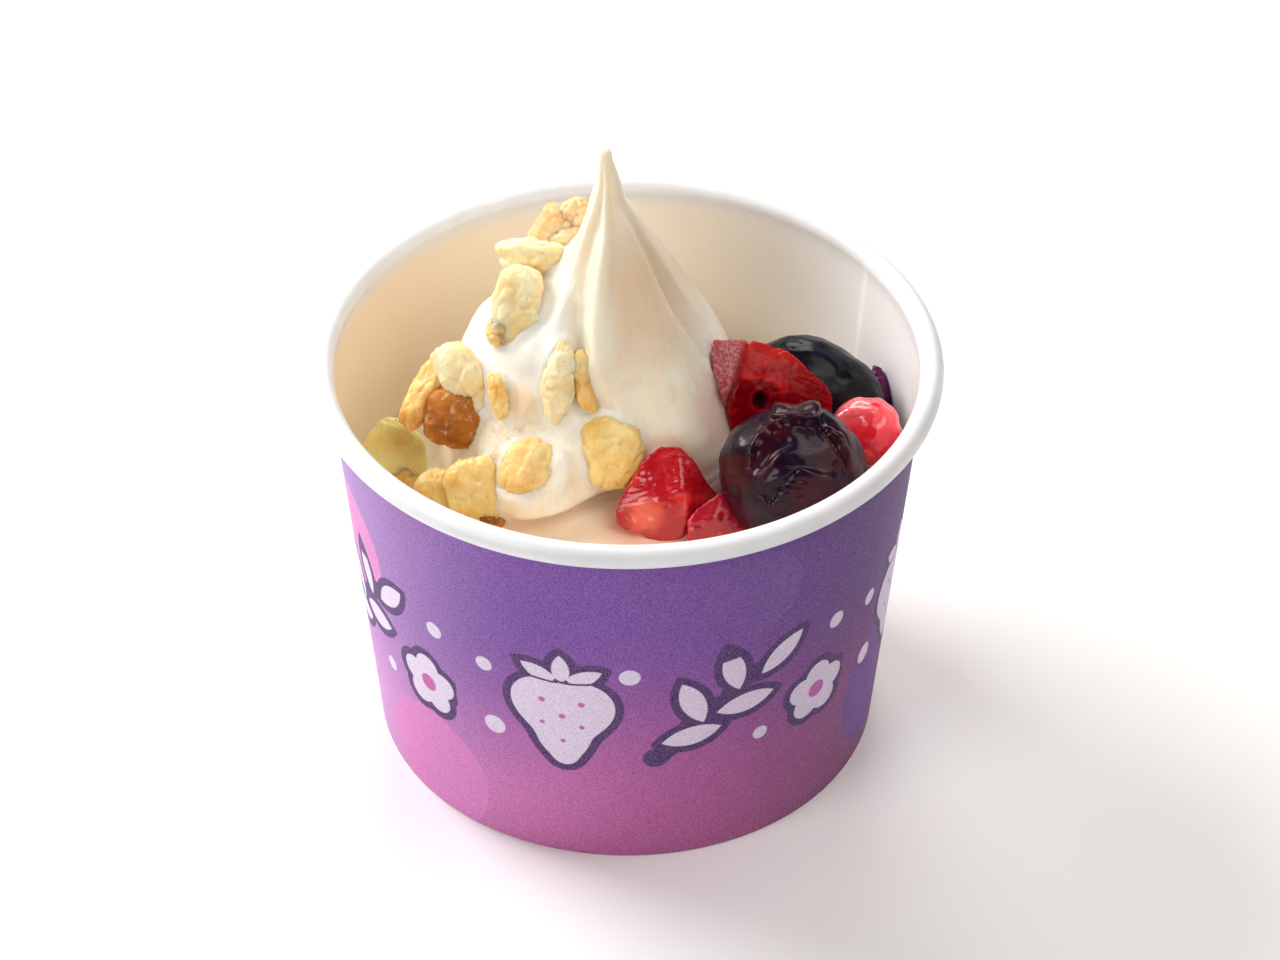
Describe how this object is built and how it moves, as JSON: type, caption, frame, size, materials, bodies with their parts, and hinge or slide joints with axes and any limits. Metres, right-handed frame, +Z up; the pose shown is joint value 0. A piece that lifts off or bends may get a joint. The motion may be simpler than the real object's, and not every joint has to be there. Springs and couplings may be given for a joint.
{
  "type": "frozen yogurt cup",
  "caption": "Paper dessert cup of swirled frozen yogurt with a pointed peak, oat granola clusters on one side and berries and strawberry pieces on the other.",
  "frame": {"origin": "centre of the ring the cup stands on, at the lowest point", "axes": "+Z up along the cup's axis; the side seen in the picture faces -Y, with the granola on -X and the berries on +X"},
  "size_m": [0.0901, 0.0898, 0.0945],
  "materials": {
    "printed_paper": "satin printed paperboard, violet above running to pink below, with the white inside and rolled rim",
    "white_paper": "satin coated white paperboard",
    "frozen_yogurt": "soft creamy white, slightly translucent, half melted sheen",
    "oat_granola": "dry toasted oat, pale yellow to brown",
    "blueberry_skin": "wet dark blue-purple skin",
    "red_berry_skin": "wet bright red skin",
    "strawberry_flesh": "wet dark red fruit flesh"
  },
  "bodies": {
    "root": {"cup_wall": "printed_paper", "cup_floor": "white_paper", "yogurt": "frozen_yogurt", "granola_crumb": "oat_granola", "oat_flake_upper": "oat_granola", "oat_puff_upper": "oat_granola", "granola_cluster": "oat_granola", "oat_flake_wall": "oat_granola", "oat_pair": "oat_granola", "oat_flake_front": "oat_granola", "oat_puff_middle": "oat_granola", "oat_puff_front": "oat_granola", "blueberry_front": "blueberry_skin", "blueberry_back": "blueberry_skin", "berry_small": "red_berry_skin", "strawberry_side": "strawberry_flesh", "strawberry_front": "strawberry_flesh", "strawberry_corner": "strawberry_flesh"}
  },
  "joints": []
}
